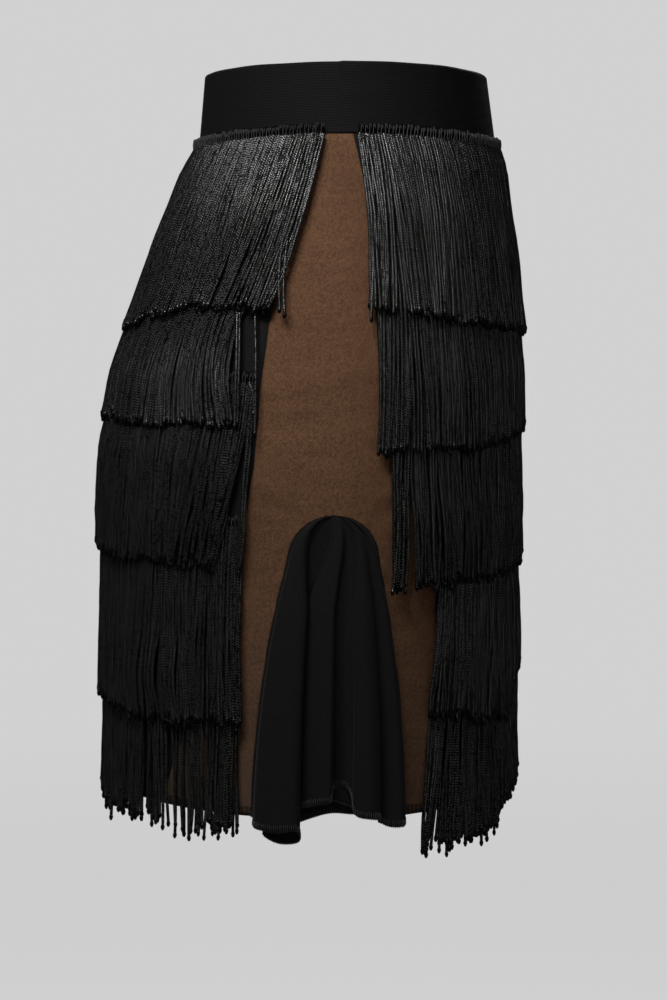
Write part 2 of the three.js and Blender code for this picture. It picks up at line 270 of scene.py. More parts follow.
def form(z):
    """Side, front, back, centre and dip at these heights; front and back from the centre."""
    side, front, back, centre, dip = (np.interp(z, HEIGHTS, column) for column in FORM_SOFT)
    return side, front + centre, back - centre, centre, dip


def panel_reach(z, half):
    return np.interp(z, HEIGHTS, PANEL_SOFT[0 if half == "front" else 1])


def figure(turn, z, out):
    """Points in metres. The turn is 0 at the right side, a quarter at the front, half at the left."""
    turn, z, out = np.broadcast_arrays(*(np.asarray(v, float) for v in (turn, z, out)))
    side, front, back, centre, dip = form(z)
    depth = np.where(np.sin(turn) > 0, front, back)
    nx, ny = -np.cos(turn) / side, -np.sin(turn) / depth
    size = np.hypot(nx, ny)
    x = -side * np.cos(turn) + out * nx / size
    y = centre - depth * np.sin(turn) + out * ny / size
    return np.stack([x, y, z - dip * np.sin(turn) ** 2], axis=-1) * MM


def turn_behind(z, distance):
    """The turn on the right side that lies this far behind the side panel's middle."""
    _, front, back, _, _ = form(z)
    return np.arcsin(-distance / np.where(distance > 0, back, front))


def span(edge, half):
    """The turns at a half's two ends, of which one lies on the right side at this edge."""
    return (edge, math.pi - edge) if half == "front" else (-math.pi - edge, edge)


def hump(distance, width):
    """1 at no distance, and next to nothing beyond two widths."""
    return np.exp(-(distance / width) ** 2)


def waves(rng, counts, heights):
    """A smooth uneven function of a share from 0 to 1."""
    phases = rng.uniform(0, 2 * math.pi, len(counts))
    counts = np.asarray(counts) * rng.uniform(0.9, 1.1, len(counts))

    def value(share):
        share = np.asarray(share)[..., None]
        return (np.sin(2 * math.pi * counts * share + phases) * heights).sum(-1)

    return value


# Meshes


def build_mesh(name, points, faces, uv, materials, slots=None):
    """An object from points, faces (arrays of one face size each) and a UV for each corner."""
    mesh = bpy.data.meshes.new(name)
    corners = np.concatenate([f.ravel() for f in faces]).astype(np.int32)
    sizes = np.concatenate([np.full(len(f), f.shape[1]) for f in faces])
    starts = np.concatenate([[0], np.cumsum(sizes)[:-1]]).astype(np.int32)
    mesh.vertices.add(len(points))
    mesh.vertices.foreach_set("co", np.asarray(points, np.float32).ravel())
    mesh.loops.add(len(corners))
    mesh.loops.foreach_set("vertex_index", corners)
    mesh.polygons.add(len(sizes))
    mesh.polygons.foreach_set("loop_start", starts)
    if slots is not None:
        mesh.polygons.foreach_set("material_index", np.asarray(slots, np.int32))
    mesh.uv_layers.new(name="cloth").data.foreach_set("uv", np.asarray(uv, np.float32).ravel())
    mesh.update(calc_edges=True)
    mesh.validate()
    mesh.polygons.foreach_set("use_smooth", np.ones(len(mesh.polygons), bool))
    for material in materials:
        mesh.materials.append(material)
    piece = bpy.data.objects.new(name, mesh)
    bpy.context.scene.collection.objects.link(piece)
    return piece


def grid_faces(rows, columns, ring=False):
    """Faces of a grid whose rows run down and columns run left to right, seen from outside."""
    last = columns if ring else columns - 1
    i, j = np.meshgrid(np.arange(rows - 1), np.arange(last), indexing="ij")
    right = (j + 1) % columns
    quads = [i * columns + j, (i + 1) * columns + j, (i + 1) * columns + right, i * columns + right]
    return np.stack(quads, -1).reshape(-1, 4)


def grid_uv(points):
    """For each point of a grid, how far it lies along its row and down its column, in metres."""
    across = np.linalg.norm(np.diff(points, axis=1), axis=2)
    down = np.linalg.norm(np.diff(points, axis=0), axis=2)
    u = np.concatenate([np.zeros((points.shape[0], 1)), np.cumsum(across, 1)], 1)
    u -= u[:, u.shape[1] // 2][:, None]
    v = np.concatenate([np.zeros((1, points.shape[1])), np.cumsum(down, 0)], 0)
    return np.stack([u, -v], -1)


def unit(vectors):
    return vectors / np.linalg.norm(vectors, axis=-1, keepdims=True)


def thicken(piece, thickness=CLOTH):
    """Gives a sheet its thickness, inwards."""
    solid = piece.modifiers.new("thickness", "SOLIDIFY")
    solid.thickness = thickness * MM
    solid.offset = -1
    solid.use_even_offset = False


def sheet_object(name, points, material, thickness=CLOTH, ring=False):
    """A thick sheet from a grid of points, closed to a ring if asked."""
    rows, columns = points.shape[:2]
    faces, uv = grid_faces(rows, columns, ring), grid_uv(points)
    flat_uv = uv.reshape(-1, 2)[faces.ravel()].reshape(-1, 4, 2)
    if ring:
        length = np.linalg.norm(points[0, 0] - points[0, -1])
        corner = flat_uv.reshape(rows - 1, columns, 4, 2)
        corner[:, -1, 2:, 0] = uv[:, -1, 0].mean() + length
    piece = build_mesh(name, points.reshape(-1, 3), [faces], flat_uv, [material])
    thicken(piece, thickness)
    return piece


def tubes(paths, normals, radii, sides, spin=0.0, plain=None):
    """Round tubes along paths (tube, ring, xyz), with their UVs and end caps.

    Past the plain rings, a tube is a knot, and its U is shifted.
    """
    count, rings = paths.shape[:2]
    tangent = unit(np.gradient(paths, axis=1))
    outward = unit(normals - (normals * tangent).sum(2, keepdims=True) * tangent)
    across = np.cross(tangent, outward)
    angle = np.arange(sides) * 2 * math.pi / sides
    spin = np.broadcast_to(spin, count)
    angle = angle[None, None, :, None] + spin[:, None, None, None]
    radii = np.broadcast_to(radii, (count, rings))[..., None, None] * MM
    ring = np.cos(angle) * outward[:, :, None] + np.sin(angle) * across[:, :, None]
    points = (paths[:, :, None] + radii * ring).reshape(-1, 3)

    n, i, j = np.meshgrid(np.arange(count), np.arange(rings - 1), np.arange(sides), indexing="ij")
    base = n * rings * sides
    right = (j + 1) % sides
    quads = [base + i * sides + j, base + i * sides + right, base + (i + 1) * sides + right,
             base + (i + 1) * sides + j]
    quads = np.stack(quads, -1).reshape(-1, 4)
    steps = np.linalg.norm(np.diff(paths, axis=1), axis=2)
    along = np.concatenate([np.zeros((count, 1)), np.cumsum(steps, 1)], 1) + spin[:, None] * 0.01
    knotted = KNOT_U * (i >= (rings if plain is None else plain - 1))
    u0, u1 = j / sides + knotted, (j + 1) / sides + knotted
    v0, v1 = along[n, i], along[n, i + 1]
    uv = np.stack([np.stack([u0, v0], -1), np.stack([u1, v0], -1), np.stack([u1, v1], -1),
                   np.stack([u0, v1], -1)], -2).reshape(-1, 4, 2)
    # The upper cap has its own points, so that a tube is shaded straight up to that end.
    crown = points.reshape(count, rings, sides, 3)[:, 0].reshape(-1, 3)
    top = len(points) + np.arange(count)[:, None] * sides + np.arange(sides)[::-1]
    foot = np.arange(count)[:, None] * rings * sides + (rings - 1) * sides + np.arange(sides)
    points = np.concatenate([points, crown])
    cap_uv = np.zeros((2 * count, sides, 2))
    cap_uv[count:, :, 0] = 0 if plain is None else KNOT_U
    cap_uv[count:, :, 1] = along[:, -1][:, None]
    return points, quads, uv, np.concatenate([top, foot]), cap_uv


def join_parts(name, parts, materials):
    """One object from several (points, quads, uv, caps, cap uv, material slot) parts."""
    offset, points, groups = 0, [], {}
    for part_points, quads, quad_uv, caps, cap_uv, slot in parts:
        points.append(part_points)
        for faces, uv in ((quads, quad_uv), (caps, cap_uv)):
            group = groups.setdefault(faces.shape[1], ([], [], []))
            group[0].append(faces + offset)
            group[1].append(uv.reshape(-1, 2))
            group[2].append(np.full(len(faces), slot))
        offset += len(part_points)
    faces, uvs, slots = zip(*(map(np.concatenate, group) for group in groups.values()))
    return build_mesh(name, np.concatenate(points), faces, np.concatenate(uvs), materials,
                      np.concatenate(slots))


# Materials


class Nodes:
    """A material's nodes, with short names for the ones that are used here."""

    def __init__(self, name):
        self.material = bpy.data.materials.new(name)
        self.material.use_nodes = True
        self.tree = self.material.node_tree
        self.shader = self.tree.nodes["Principled BSDF"]
        place = self.tree.nodes.new("ShaderNodeUVMap")
        place.uv_map = "cloth"
        split = self.tree.nodes.new("ShaderNodeSeparateXYZ")
        self.link(place.outputs[0], split.inputs[0])
        self.u, self.v = split.outputs[0], split.outputs[1]

    def link(self, a, b):
        self.tree.links.new(a, b)

    def put(self, value, socket):
        if isinstance(value, bpy.types.NodeSocket):
            self.link(value, socket)
        else:
            socket.default_value = (*value, 1.0) if isinstance(value, tuple) else value

    def math(self, operation, a, b=0.0, c=0.0, clamp=False):
        node = self.tree.nodes.new("ShaderNodeMath")
        node.operation = operation
        node.use_clamp = clamp
        for value, socket in zip((a, b, c), node.inputs):
            self.put(value, socket)
        return node.outputs[0]

    def times(self, a, b, clamp=False):
        return self.math("MULTIPLY", a, b, clamp=clamp)

    def line(self, value, slope, start, clamp=False):
        return self.math("MULTIPLY_ADD", value, slope, start, clamp)

    def wave(self, value, pitch):
        """From 0 to 1 and back, once in each pitch."""
        turned = self.times(value, 2 * math.pi / pitch)
        return self.line(self.math("SINE", turned), 0.5, 0.5)

    def noise(self, scale, detail=2.0, vector=None):
        node = self.tree.nodes.new("ShaderNodeTexNoise")
        node.inputs["Scale"].default_value = scale
        node.inputs["Detail"].default_value = detail
        self.link(vector or self.place(), node.inputs["Vector"])
        return node.outputs["Fac"]

    def place(self):
        node = self.tree.nodes.new("ShaderNodeTexCoord")
        return node.outputs["Object"]

    def blend(self, factor, a, b):
        node = self.tree.nodes.new("ShaderNodeMix")
        node.data_type = "RGBA"
        self.put(factor, node.inputs["Factor"])
        self.put(a, node.inputs[6])
        self.put(b, node.inputs[7])
        return node.outputs[2]

    def streaks(self, across, down, detail=2.0):
        """Uneven marks with this many to a metre across the cloth and down it."""
        node = self.tree.nodes.new("ShaderNodeCombineXYZ")
        self.link(self.times(self.u, across), node.inputs[0])
        self.link(self.times(self.v, down), node.inputs[1])
        return self.noise(1.0, detail, node.outputs[0])

    def island(self):
        node = self.tree.nodes.new("ShaderNodeNewGeometry")
        return node.outputs["Random Per Island"]

    def bump(self, height, distance):
        node = self.tree.nodes.new("ShaderNodeBump")
        node.inputs["Distance"].default_value = distance * MM
        node.inputs["Strength"].default_value = 1.0
        self.link(height, node.inputs["Height"])
        self.link(node.outputs[0], self.shader.inputs["Normal"])

    def finish(self, colour, roughness, specular=None, sheen=0.0):
        self.put(colour, self.shader.inputs["Base Color"])
        self.put(roughness, self.shader.inputs["Roughness"])
        if specular is not None:
            self.shader.inputs["Specular IOR Level"].default_value = specular
        self.shader.inputs["Sheen Weight"].default_value = sheen
        self.shader.inputs["Sheen Roughness"].default_value = 0.4
        return self.material


def cord_material():
    """Chain-stitched cord: rows of small stitches that lean one way and then the other."""
    n = Nodes("chainette cord")
    pitch = 1.5 * MM
    rows = n.math("FRACT", n.times(n.u, 2.0))
    lean = n.math("ABSOLUTE", n.line(rows, 2.0, -1.0))
    across = n.math("SINE", n.times(n.math("FRACT", n.times(n.u, 4.0)), math.pi))
    shifted = n.line(lean, 0.9 * pitch, n.v)
    stitch = n.wave(n.line(n.island(), 0.03, shifted), pitch)
    # Stitch pattern with a painted highlight on each crest and painted shade between the crests.
    crest_highlight = n.math("POWER", stitch, 4.0)
    speck = n.line(n.noise(700, 1), 4.2, -1.45, clamp=True)
    shade = n.times(n.line(n.island(), 0.4, 0.8), n.line(speck, 2.1, 0.15))
    level = n.times(n.times(crest_highlight, n.line(across, 0.5, 0.5)), shade)
    cord = n.math("LESS_THAN", n.u, KNOT_U / 2)
    level = n.times(level, n.line(cord, 0.75, 0.25))
    # Base colour: near black in the painted shade between stitches, lighter at the painted
    # highlights.
    colour = n.blend(level, (0.0006, 0.0006, 0.0006), (0.034, 0.033, 0.0315))
    height = n.times(stitch, n.line(across, 0.2, 0.8))
    n.bump(n.line(speck, 0.3, height), 0.05)
    n.put(n.line(level, 1.3, 0.02), n.shader.inputs["Specular IOR Level"])
    return n.finish(colour, 0.34)


def thread_material():
    n = Nodes("sewing thread")
    twist = n.wave(n.line(n.u, 0.4 * MM, n.v), 0.4 * MM)
    colour = n.blend(twist, (0.015, 0.015, 0.0145), (0.075, 0.073, 0.07))
    n.bump(twist, 0.06)
    return n.finish(colour, 0.45, 0.4)


def tape_material():
    n = Nodes("heading tape")
    weave = n.times(n.wave(n.u, 0.8 * MM), n.wave(n.v, 0.8 * MM))
    n.bump(weave, 0.12)
    return n.finish((0.0015, 0.0015, 0.0015), 0.8, 0.05)


# The step between the ribs of the elastic and between the rows of the jersey.
RIB_PITCH = 0.95


def elastic_material():
    n = Nodes("ribbed elastic")
    knit = n.wave(n.math("ADD", n.u, n.times(n.v, 0.3)), 0.9 * MM)
    ribs = n.wave(n.v, RIB_PITCH * MM)
    grain = n.noise(900, 2)
    height = n.math("ADD", n.times(knit, 0.5), ribs)
    level = n.line(grain, 0.5, n.times(height, 0.35))
    colour = n.blend(level, (0.003, 0.003, 0.0031), (0.0115, 0.0114, 0.0113))
    n.bump(height, 0.12)
    return n.finish(colour, 0.8, 0.12)


def jersey_material():
    n = Nodes("black jersey")
    ribs = n.wave(n.v, RIB_PITCH * MM)
    knit = n.wave(n.u, 0.7 * MM)
    level = n.line(n.noise(700, 3), 0.6, n.times(ribs, 0.4))
    colour = n.blend(level, (0.0034, 0.0034, 0.0036), (0.011, 0.0109, 0.0109))
    n.bump(n.math("ADD", ribs, n.times(knit, 0.4)), 0.1)
    return n.finish(colour, 0.8, 0.12)


def godet_material():
    n = Nodes("black crepe")
    twill = n.wave(n.math("ADD", n.u, n.v), 1.1 * MM)
    grain = n.line(n.noise(1500, 2), 2.4, -0.7, clamp=True)
    level = n.line(grain, 0.55, n.times(twill, 0.45))
    colour = n.blend(level, (0.0012, 0.0012, 0.0013), (0.0105, 0.0105, 0.0108))
    n.bump(n.math("ADD", grain, n.times(twill, 0.5)), 0.06)
    return n.finish(colour, 0.8, 0.12, 0.03)


def mesh_material():
    """Fine brown net with a diagonal twill, darker near the hem, partly as painted shade."""
    n = Nodes("brown mesh")
    twill = n.wave(n.line(n.v, -0.8, n.u), 1.35 * MM)
    cross = n.wave(n.line(n.v, 1.25, n.u), 1.5 * MM)
    weave = n.times(n.math("POWER", twill, 0.7), n.line(cross, 0.6, 0.4))
    fleck = n.line(n.noise(700, 2), 2.6, -0.8, clamp=True)
    grain = n.line(fleck, 0.35, n.times(weave, 0.65))
    mottle = n.line(n.streaks(35, 190, 3), 0.6, n.times(n.noise(30, 2), 0.4))
    mottle = n.line(mottle, 1.8, -0.4, clamp=True)
    level = n.line(grain, 0.82, n.times(mottle, 0.18))
    # From 0 at the elastic to 1 at the hem, and from 1 behind the middle to 0 in front.
    low = n.times(n.v, 1 / ((HEM - BAND_BOTTOM) * MM), clamp=True)
    behind = n.line(n.u, -9.0, 1.0, clamp=True)
    # Painted darker towards the hem and behind the middle: partly painted shade where light falls
    # off, partly the net's own tone.
    light = n.blend(level, (0.005, 0.0024, 0.0011), (0.240, 0.117, 0.0575))
    shaded_low_net = n.blend(level, (0.022, 0.0135, 0.0095), (0.135, 0.084, 0.056))
    colour = n.blend(n.times(n.math("POWER", low, 3.2), behind), light, shaded_low_net)
    # The last few millimetres are a stitched hem.
    hem = n.line(n.v, -2000.0, -743.0, clamp=True)
    seam = n.times(hem, n.line(n.wave(n.u, 2.3 * MM), 0.4, 0.45))
    colour = n.blend(seam, colour, (0.01, 0.008, 0.007))
    n.bump(grain, 0.12)
    return n.finish(colour, 0.75, 0.12, 0.04)


CORD, THREAD, TAPE_CLOTH = cord_material(), thread_material(), tape_material()
ELASTIC, JERSEY = elastic_material(), jersey_material()
CREPE, NET = godet_material(), mesh_material()


# The camera, at the photograph's angle. It looks down a little: its horizon lies this many pixels
# above the picture's middle, at a focal length that is given in pixels too.
CAMERA_PLACE = (-1.8, 0.0075, -0.082)
LENS, SENSOR = 108, 36
HORIZON_PIXELS, FOCAL_PIXELS = 255, 3000


def make_camera():
    data = bpy.data.cameras.new("camera")
    data.lens = LENS
    data.sensor_width = SENSOR
    data.clip_start, data.clip_end = 0.05, 100
    camera = bpy.context.scene.camera = bpy.data.objects.new("camera", data)
    camera.location = CAMERA_PLACE
    tilt = math.atan(HORIZON_PIXELS / FOCAL_PIXELS)
    camera.rotation_euler = (math.radians(90) - tilt, 0, math.radians(-90))
    bpy.context.scene.collection.objects.link(camera)


make_camera()


# Waistband


def waistband():
    columns, ribs = 160, 42
    turns = np.linspace(0, 2 * math.pi, columns, endpoint=False)
    rows = np.linspace(0, 1, 2 * ribs + 1)
    height = BAND_TOP - BAND_BOTTOM
    heights = BAND_TOP - rows * height
    swell = 0.09 * np.cos(rows * 2 * math.pi * ribs)
    edge = np.minimum(rows, 1 - rows) * height
    swell -= 0.7 * np.clip(1 - edge / 1.2, 0, 1) ** 2
    rng = np.random.default_rng(BAND_SEED)
    uneven = waves(rng, (3, 7, 13), (0.25, 0.15, 0.1))(turns / (2 * math.pi))
    out = BAND_PROUD + swell[:, None] + uneven[None, :] * 0.6
    grid = figure(turns[None, :], heights[:, None], out)
    grid[..., 2] += uneven[None, :] * MM * 0.8
    piece = sheet_object("elastic_band", grid, ELASTIC, thickness=BAND_CLOTH, ring=True)
    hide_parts("waistband")
    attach(piece, "root")
    return piece


# Front and back panels


def panel(half):
    rows, columns = 50, 60
    heights = np.linspace(BAND_BOTTOM - 0.3, HEM, rows)
    sign = -1 if half == "front" else 1
    edge = turn_behind(heights, sign * (panel_reach(heights, half) - SEAM))
    start, end = span(edge, half)
    shares = np.linspace(0, 1, columns)
    turns = start[:, None] + (end - start)[:, None] * shares
    piece = sheet_object(f"jersey_{half}", figure(turns, heights[:, None], 0), JERSEY)
    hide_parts(f"{half}_panel")
    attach(piece, "root")
    return piece


# Side panels and godets, each made for the right side and mirrored for the left


def mirrored(points):
    return (points * np.array([-1, 1, 1]))[:, ::-1]


def arch_half(depth):
    depth = np.asarray(depth, float)
    head = np.sqrt(np.clip(ARCH_RADIUS ** 2 - (ARCH_RADIUS - depth) ** 2, 0, None))
    share = np.clip((depth - ARCH_RADIUS) / (ARCH_TOP - HEM - ARCH_RADIUS), 0, 1)
    flare = ARCH_RADIUS + (ARCH_HEM - ARCH_RADIUS) * (1 - (1 - share) ** ARCH_EASE)
    return np.where(depth <= 0, 0, np.where(depth < ARCH_RADIUS, head, flare))


def arch_depths(first):
    """Depths of rows of points below the arch's top, closer together in its round head."""
    below_head, rows = 28, 52
    return np.concatenate([[first], HEAD_ROWS, np.linspace(below_head, ARCH_TOP - HEM, rows)])


def side_relief(distance, z):
    """Small uneven creases: level ones from the stretch, and puckers round the arch's seam.

    A longer crease runs up and out from each shoulder of the arch.
    """
    level = 0.16 * np.sin(z / 5.1 + 1.3 * np.sin(distance / 19) + 0.6)
    level += 0.12 * np.sin(z / 2.7 + distance / 23 + 2.0)
    middle, tall = -175, 70
    depth = ARCH_TOP - z
    spoke = np.hypot(distance, np.minimum(depth - ARCH_RADIUS, 0))
    off = np.abs(np.where(depth > ARCH_RADIUS, np.abs(distance) - arch_half(depth),
                          spoke - ARCH_RADIUS))
    angle = np.arctan2(distance, ARCH_RADIUS - depth)
    pucker = 0.35 * np.exp(-off / 7) * np.sin(angle * 17 + 0.9 * np.sin(angle * 5))
    aside = np.abs(distance)
    line = z - ARCH_TOP - 1 - 0.4 * (aside - 20)
    drag = (0.8 * hump(line - 6, 4.5) - 0.7 * hump(line + 2, 4.5)) * hump(aside - 34, 11)
    head = 1 - np.exp(-(distance ** 2 + depth ** 2) / 64)
    return (level * hump(z - middle, tall) + np.where(depth > -30, pucker, 0) + drag) * head


def side_panel(side):
    row_step, half_columns = 4.1, 30
    above = [*np.arange(BAND_BOTTOM - 0.3, ARCH_TOP, -row_step), ARCH_TOP + 0.6, ARCH_TOP]
    heights = np.concatenate([above, ARCH_TOP - arch_depths(0.05)])
    middle = arch_half(ARCH_TOP - heights) + np.where(heights < ARCH_TOP, ARCH_SEAM, 0)
    shares = np.linspace(0, 1, half_columns)
    back = panel_reach(heights, "back") + SEAM
    front = panel_reach(heights, "front") + SEAM
    left = back[:, None] + (middle - back)[:, None] * shares
    right = -(middle[:, None] + (front - middle)[:, None] * shares)
    distance = np.concatenate([left, right], 1)
    z = heights[:, None]
    points = figure(turn_behind(z, distance), z, side_relief(distance, z) - NET_IN)
    uv = np.stack([-distance * MM, np.broadcast_to((z - BAND_BOTTOM) * MM, distance.shape)], -1)
    if side == "left":
        points, uv = mirrored(points), uv[:, ::-1]
    columns = points.shape[1]
    faces = grid_faces(len(heights), columns).reshape(len(heights) - 1, columns - 1, 4)
    faces = np.delete(faces, half_columns - 1, axis=1).reshape(-1, 4)
    corner_uv = uv.reshape(-1, 2)[faces.ravel()]
    piece = build_mesh(f"net_side_{side}", points.reshape(-1, 3), [faces], corner_uv, [NET])
    weld = piece.modifiers.new("weld", "WELD")
    weld.merge_threshold = 0.00002
    thicken(piece)
    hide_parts(f"side_panel_{side}")
    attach(piece, "root")
    return piece


def smooth_folds(steps):
    """The fold table with this many steps between its rows, on one smooth curve."""
    padded = np.vstack([2 * FOLDS[0] - FOLDS[1], FOLDS, 2 * FOLDS[-1] - FOLDS[-2]])
    t = np.linspace(0, 1, steps, endpoint=False)[:, None]
    parts = []
    for k in range(len(FOLDS) - 1):
        a, b, c, d = padded[k:k + 4]
        parts.append(0.5 * (2 * b + (c - a) * t + (2 * a - 5 * b + 4 * c - d) * t ** 2
                            + (3 * b - a - 3 * c + d) * t ** 3))
    return np.vstack([*parts, FOLDS[-1:]])


def godet_points():
    """The godet's rows of points. Its folds hang upright from the head and spread at the hem."""
    folds = smooth_folds(steps=4)
    even = np.linspace(1, -1, len(folds))
    depths = arch_depths(0.02)
    share = (depths / (ARCH_TOP - HEM))[:, None]
    half = arch_half(depths)[:, None] + ARCH_SEAM
    formed = np.clip(3.2 * share, 0, 1)
    formed = formed * formed * (3 - 2 * formed) * 0.4 + formed * 0.6
    upright = np.tanh(0.8 * folds[:, 0] / half) / np.tanh(0.8 * ARCH_HEM / half)
    placed = upright + (folds[:, 0] / ARCH_HEM - upright) * share
    distance = (even + (placed - even) * formed) * half
    z = ARCH_TOP - depths[:, None]
    out = folds[:, 1] * share ** FOLD_GROWTH
    turn = turn_behind(z, distance)
    points = figure(turn, z, out)
    points[..., 2] += folds[:, 2] * share ** 2 * MM
    return points


def godet(side):
    points = godet_points()
    if side == "left":
        points = mirrored(points)
    piece = sheet_object(f"crepe_godet_{side}", points, CREPE)
    stitches = hem_stitches(points[-1], points[-6])
    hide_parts(f"godet_{side}")
    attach(piece, "root")
    trim = join_parts(f"godet_overlock_{side}", [(*stitches, 0)], [THREAD])
    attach(trim, "root")
    return piece, trim


# Stitches


def along_line(values, along, wanted):
    return np.stack([np.interp(wanted, along, values[:, k]) for k in range(values.shape[1])], -1)


def ladder(base, up, along, out, profile, radius, rng):
    """One small thread loop at each base point. The profile's rows are steps along, up and out."""
    profile = np.asarray(profile, float) * MM
    scatter = 1 + rng.uniform(-0.12, 0.12, (len(base), 1, 1))
    lean = rng.uniform(-0.25, 0.25, (len(base), 1, 1)) * MM
    paths = (base[:, None] + profile[None, :, :1] * along[:, None]
             + profile[None, :, 1:2] * scatter * up[:, None]
             + profile[None, :, 2:] * out[:, None]
             + lean * (profile[None, :, 1:2] / MM) * 0.3 * along[:, None])
    normals = np.broadcast_to(out[:, None], paths.shape)
    return tubes(paths, normals, radius, THREAD_SIDES)


def hem_stitches(hem, above):
    """Overlock threads from a line above the hem down round its edge."""
    rng = np.random.default_rng(HEM_SEED)
    steps = np.linalg.norm(np.diff(hem, axis=0), axis=1)
    along = np.concatenate([[0], np.cumsum(steps)])
    count = int(along[-1] / (OVERLOCK_STEP * MM))
    wanted = (np.arange(count) + 0.5) / count * along[-1]
    base = along_line(hem, along, wanted)
    high = along_line(above, along, wanted)
    step = 0.2 * MM
    ahead = unit(along_line(hem, along, wanted + step) - along_line(hem, along, wanted - step))
    up = unit(high - base)
    out = unit(np.cross(ahead, up))
    height = OVERLOCK_HEIGHT
    profile = [(0, height, 0.1), (0.1, height * 0.6, 0.3), (0.2, 0.5, 0.35), (0.4, -0.35, -0.1),
               (0.6, -0.3, -1.1), (0.8, 1.0, -1.5)]
    return ladder(base, up, ahead, out, profile, OVERLOCK_RADIUS, rng)


# Fringe


def tier_turns(tier, half, z):
    """Where half a tier starts and ends at a height, left to right as seen from outside."""
    gap, reach = tier[half]["gap"], tier[half]["reach"][0][1]
    share = np.clip((tier["tape"] - z) / (tier["tape"] - reach), 0, 1)
    away = gap[0] + (gap[1] - gap[0]) * share - tier[half]["bow"] * np.sin(math.pi * share)
    return span(turn_behind(z, -away if half == "front" else away), half)


class HalfTier:
    """Half a tier: the turn at each share of its length round, at each height.

    The first tier's tape lies on the elastic, which stands out of the cloth.
    """

    def __init__(self, number, half):
        self.number, self.half, self.tier = number, half, TIERS[number]
        self.tape, self.cords = self.tier["tape"], self.tier[half]["cords"]
        self.first = 0 if number else BAND_PROUD
        self.lowest = min(height for _, height in self.tier[half]["reach"])
        level_count, share_count, step_count = 26, 161, 481
        self.levels = np.linspace(self.tape + 6, self.lowest - 12, level_count)
        self.shares = np.linspace(0, 1, share_count)
        rows, self.lengths = [], []
        for z in self.levels:
            start, end = tier_turns(self.tier, half, z)
            turns = np.linspace(start, end, step_count)
            points = figure(turns, z, 0) / MM
            steps = np.hypot(*np.diff(points[:, :2], axis=0).T)
            along = np.concatenate([[0], np.cumsum(steps)])
            rows.append(np.interp(self.shares * along[-1], along, turns))
            self.lengths.append(along[-1])
        self.table = np.array(rows)
        self.lengths = np.array(self.lengths)

    def turn(self, share, z):
        share, z = np.broadcast_arrays(np.asarray(share, float), np.asarray(z, float))
        row = (self.levels[0] - z) / (self.levels[0] - self.levels[-1]) * (len(self.levels) - 1)
        row = np.clip(row, 0, len(self.levels) - 1.001)
        column = share * (len(self.shares) - 1)
        i, j = row.astype(int), np.clip(np.floor(column), 0, len(self.shares) - 2).astype(int)
        a, b = row - i, column - j
        table = self.table
        upper = table[i, j] * (1 - b) + table[i, j + 1] * b
        lower = table[i + 1, j] * (1 - b) + table[i + 1, j + 1] * b
        return upper * (1 - a) + lower * a

    def own(self, table):
        """The rest of those of the table's rows that name this half tier."""
        return [row[2:] for row in table if row[:2] == (self.number, self.half)]

    def length(self, z):
        return np.interp(-z, -self.levels, self.lengths)

    def reach(self, share):
        places, heights = zip(*self.tier[self.half]["reach"])
        way_round = np.abs(np.sin(self.turn(share, self.lowest + 30)))
        return np.interp(way_round, places, heights)

    def proud(self, z):
        """How far the middle of the inner layer of cords stands out of the figure."""
        heights = [self.tape + 1, self.tape - 4]
        outs = [1.2 + self.first, 1.9 + self.first * 0.8]
        if self.number < len(TIERS) - 1:
            following = TIERS[self.number + 1]["tape"]
            covered = self.tape - 8
            if self.number:
                above = TIERS[self.number - 1][self.half]["reach"]
                covered = min(covered, min(height for _, height in above) - 5)
            heights += [covered, following + 3, following - 6, self.lowest + 25, self.lowest]
            outs += [UNCOVERED_OUT[self.number], 4.5, 4.9]
            outs += [5.0, 5.2] if self.number else [5.4, 6.4]
        else:
            heights += [HEM + 40, HEM - 30]
            outs += [1.9, 3.4]
        order = np.argsort(heights)
        return np.interp(z, np.array(heights)[order], np.array(outs)[order])


def body_steps(number):
    """Shares of a cord's length, closer together where the tier above doesn't cover it."""
    if number == 0:
        return np.linspace(0, 1, 15)
    return np.concatenate([[0, 0.14, 0.27], np.linspace(0.38, 1, 9)])


def cord_shape(number):
    """Each ring's share of the cord's radius."""
    return np.concatenate([np.ones(len(body_steps(number))), KNOT[1:, 1]])


def cord_shares(tier, rng):
    """Each cord's share of the way along half a tier and its layer, fewer where the tier is thin."""
    count = tier.cords
    layer = np.arange(count) % 2
    share = (np.arange(count) + 0.5 + rng.uniform(-0.45, 0.45, count)) / count
    keep = np.ones(count, bool)
    for low, high, kept in tier.own(THIN):
        for start, end in ((low, high), (1 - high, 1 - low)):
            inside = (share >= start) & (share <= end)
            keep &= ~inside | (rng.random(count) < kept)
    return share[keep], layer[keep]


def cord_drift(tier, share, layer, length, rng):
    """How far each cord's tip lies off its place, since cords hang in bunches and groups."""
    heights = np.array([3.2, 2.2, 1.3, 0.8]) / length
    inner, outer = (waves(rng, (4, 9, 17, 29), heights)(share) for _ in range(2))
    drift = np.where(layer == 0, inner, outer)
    group = np.cumsum(rng.random(len(share)) < 1 / GROUP)
    shift = rng.normal(0, GROUP_SHIFT[tier.number], (2, group[-1] + 1))[layer, group]
    drift = drift + (shift + rng.normal(0, JITTER[tier.number], len(share))) / length
    return drift * np.clip(np.minimum(share, 1 - share) * length / 6, 0, 1)


def cord_heights(tier, share, rng):
    """The heights of each cord's rings, and how far down the cord they are."""
    number, count = tier.number, len(share)
    top = tier.tape - CORD_TOP + rng.uniform(-0.4, 0.4, count)
    tip = tier.reach(share) + 0.8 * SCATTER[number] + rng.normal(0, SCATTER[number] * 0.5, count)
    tip += waves(rng, (3, 8, 19), (0.9, 0.8, 0.8))(share)
    return ring_heights(number, top, tip)


